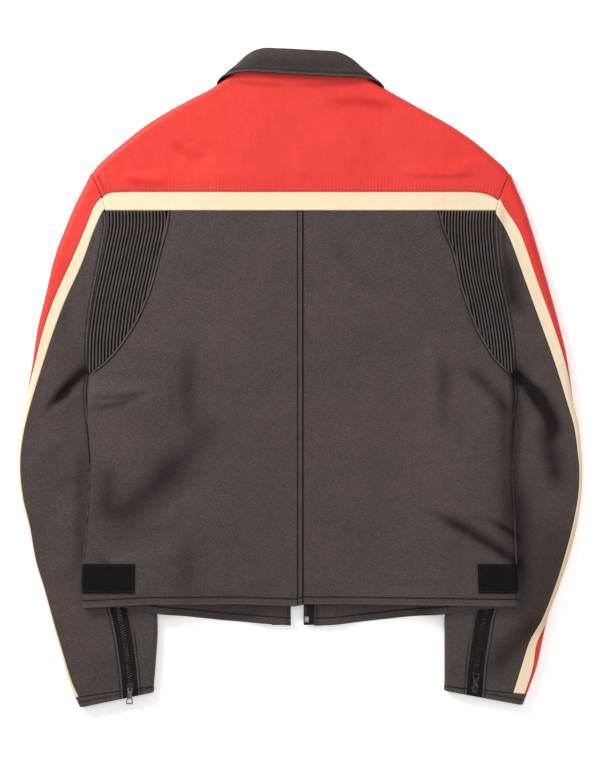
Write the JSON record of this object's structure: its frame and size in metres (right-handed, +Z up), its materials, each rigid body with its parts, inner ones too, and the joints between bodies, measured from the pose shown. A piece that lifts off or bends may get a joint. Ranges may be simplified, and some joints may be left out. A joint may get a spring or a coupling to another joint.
{
  "type": "leather motorcycle jacket",
  "caption": "Short leather motorcycle jacket laid flat with its back up: red yoke, cream stripe, dark body, ribbed stretch panels, folded collar and zipped cuffs.",
  "frame": {"origin": "on the floor below the middle of the outline", "axes": "+X to the right of the jacket as it lies with its back up, +Y towards the collar, +Z up from the surface that it lies on"},
  "size_m": [0.7052, 0.8213, 0.0255],
  "materials": {
    "red_leather": "semi-matt, fine grain",
    "cream_leather": "semi-matt, fine grain",
    "dark_leather": "semi-matt, fine pebbled grain",
    "ribbed_leather": "semi-matt, ribbed",
    "black_tape": "matt woven",
    "gunmetal": "dark satin"
  },
  "bodies": {
    "jacket": {"back_left": "dark_leather", "back_right": "dark_leather", "back_stripe": "cream_leather", "back_yoke": "red_leather", "collar": "dark_leather", "front_left": "dark_leather", "front_right": "dark_leather", "front_yoke_left": "red_leather", "front_yoke_right": "red_leather", "front_zip_box": "gunmetal", "front_zip_slider": "gunmetal", "front_zip_tape_left": "black_tape", "front_zip_tape_right": "black_tape", "hook_patch_left": "black_tape", "hook_patch_right": "black_tape", "stretch_panel_left": "ribbed_leather", "stretch_panel_right": "ribbed_leather", "sleeve_red_left": "red_leather", "sleeve_stripe_left": "cream_leather", "sleeve_back_left": "dark_leather", "sleeve_under_left": "dark_leather", "cuff_band_left": "dark_leather", "cuff_zip_tape_left": "black_tape", "cuff_zip_slider_left": "gunmetal", "sleeve_red_right": "red_leather", "sleeve_stripe_right": "cream_leather", "sleeve_back_right": "dark_leather", "sleeve_under_right": "dark_leather", "cuff_band_right": "dark_leather", "cuff_zip_tape_right": "black_tape", "cuff_zip_slider_right": "gunmetal"},
    "cuff_pull_left": {"cuff_zip_pull_left": "gunmetal"},
    "cuff_pull_right": {"cuff_zip_pull_right": "gunmetal"}
  },
  "joints": [
    {"name": "cuff_pull_left_hinge", "type": "hinge", "parent": "jacket", "child": "cuff_pull_left", "pos_m": [-0.21248, -0.3868, 0.01598], "axis": [-0.999, 0.0458, 0], "range_deg": [0, 170]},
    {"name": "cuff_pull_right_hinge", "type": "hinge", "parent": "jacket", "child": "cuff_pull_right", "pos_m": [0.2177, -0.38758, 0.01607], "axis": [0.9973, -0.0737, 0], "range_deg": [0, 170]}
  ]
}
